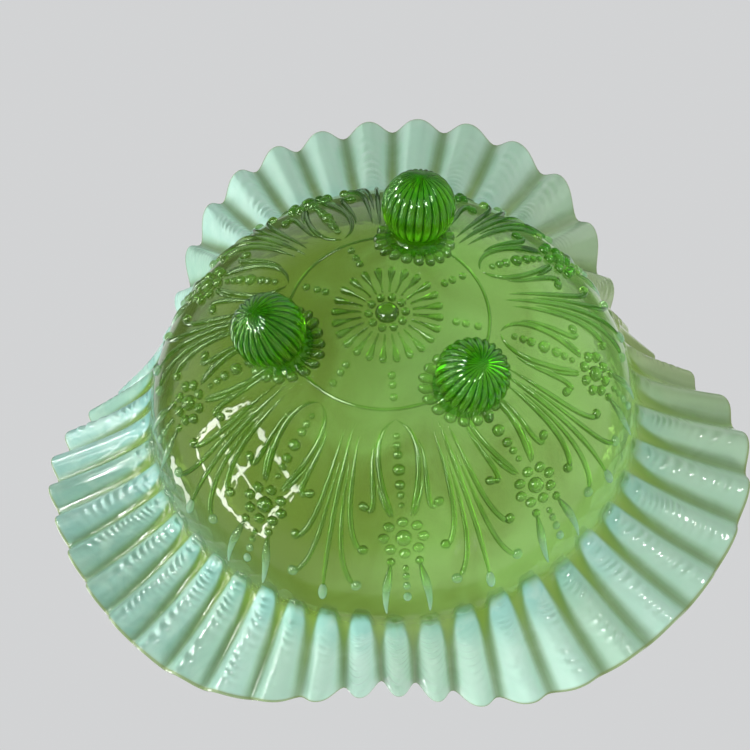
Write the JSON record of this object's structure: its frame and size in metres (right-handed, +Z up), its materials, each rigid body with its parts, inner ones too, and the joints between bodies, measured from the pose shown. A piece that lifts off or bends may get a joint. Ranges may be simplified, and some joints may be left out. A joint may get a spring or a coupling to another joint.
{
  "type": "footed glass dish",
  "caption": "Round pressed green opalescent glass dish with a crimped tricorner rim, ribbed ball feet and a raised bead, flower and plume pattern.",
  "frame": {"origin": "on the table plane under the feet, at the middle of the dish's overall box; the bowl's own axis stands about 13 mm beside it, mostly along Y, because the rim has three lobes and was shaped by hand a little to one side", "axes": "+Z up out of the mouth of the dish, which stands on its feet; one lobe of the rim points along -Y"},
  "size_m": [0.206, 0.1974, 0.104],
  "materials": {
    "green_glass": "glossy pressed glass, light lime green",
    "opal_glass": "glossy opalescent glass, milky mint on the ridges and green in the valleys",
    "emerald_glass": "glossy thick glass, saturated emerald green",
    "pale_opal_glass": "glossy green glass that turns milky on the raised parts"
  },
  "bodies": {
    "root": {"bowl_body": "green_glass", "ruffled_rim": "opal_glass", "foot_1": "emerald_glass", "foot_2": "emerald_glass", "foot_3": "emerald_glass", "foot_collar_1": "green_glass", "foot_collar_2": "green_glass", "foot_collar_3": "green_glass", "centre_boss": "green_glass", "centre_bead_ring": "green_glass", "base_daisy": "green_glass", "base_ring_line": "green_glass", "base_bead_rows": "green_glass", "pearl_flowers": "green_glass", "flower_bead_stems": "green_glass", "flower_tail_beads": "pale_opal_glass", "flower_arches": "green_glass", "flower_scrolls": "green_glass", "flower_leaf_stems": "pale_opal_glass", "plume_lines": "green_glass", "plume_drops": "pale_opal_glass"}
  },
  "joints": []
}
